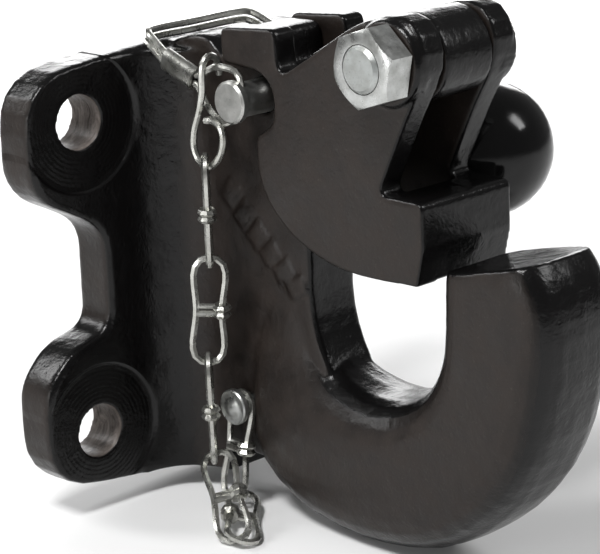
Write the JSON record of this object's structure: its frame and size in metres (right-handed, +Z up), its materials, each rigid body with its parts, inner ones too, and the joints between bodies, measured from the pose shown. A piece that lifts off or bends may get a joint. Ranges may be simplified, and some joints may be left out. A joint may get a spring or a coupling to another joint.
{
  "type": "rigid-mount pintle hook",
  "caption": "Forged pintle hook on a four-bolt plate, with a hinged upper jaw, a wire-bail lock pin on a double-loop chain and a ball knob.",
  "frame": {"origin": "centre of the mounting plate's back face", "axes": "+X out of the mounting face towards the hook, +Z up, +Y to the side of the ball knob; y = 0 is the hook's middle plane"},
  "size_m": [0.2116, 0.16, 0.2008],
  "materials": {
    "hook_body": "glossy black paint over a rough forged surface",
    "upper_jaw": "glossy black paint over a rough forged surface",
    "pivot_bolt": "bright zinc plated",
    "pivot_nut": "bright zinc plated",
    "knob_stud": "bright zinc plated",
    "lift_knob": "smooth glossy black",
    "lock_pin": "bright zinc plated",
    "wire_bail": "bright zinc plated",
    "bail_ferrule": "bright zinc plated",
    "s_hook": "bright zinc plated",
    "chain_rivet": "bright zinc plated",
    "chain_link": "bright zinc plated"
  },
  "bodies": {
    "hook": {"hook_body": "hook_body", "chain_rivet": "chain_rivet", "lock_pin": "lock_pin"},
    "jaw": {"upper_jaw": "upper_jaw", "pivot_bolt": "pivot_bolt", "pivot_nut": "pivot_nut", "knob_stud": "knob_stud", "lift_knob": "lift_knob"},
    "bail": {"wire_bail": "wire_bail", "bail_ferrule": "bail_ferrule"},
    "chain": {"s_hook": "s_hook", "chain_link_1": "chain_link", "chain_link_2": "chain_link", "chain_link_3": "chain_link", "chain_link_5": "chain_link"},
    "lower_links": {"chain_link_4": "chain_link", "chain_link_6": "chain_link"}
  },
  "joints": [
    {"name": "jaw_hinge", "type": "hinge", "parent": "hook", "child": "jaw", "pos_m": [0.1473, 0, 0.0918], "axis": [0, 1, 0], "range_deg": [0, 4.5]},
    {"name": "bail_swing", "type": "hinge", "parent": "hook", "child": "bail", "pos_m": [0.0717, -0.0248, 0.0697], "axis": [0.341, 0, 0.9401], "range_deg": [0, 6]},
    {"name": "chain_swing", "type": "hinge", "parent": "hook", "child": "chain", "pos_m": [0.055, -0.0145, -0.0506], "axis": [-0.026, 0.082, -0.9963], "range_deg": [0, 6]},
    {"name": "lower_links_swing", "type": "hinge", "parent": "chain", "child": "lower_links", "pos_m": [0.0512, -0.027, -0.0712], "axis": [-0.2026, -0.3683, 0.9073], "range_deg": [-6, 6]}
  ]
}
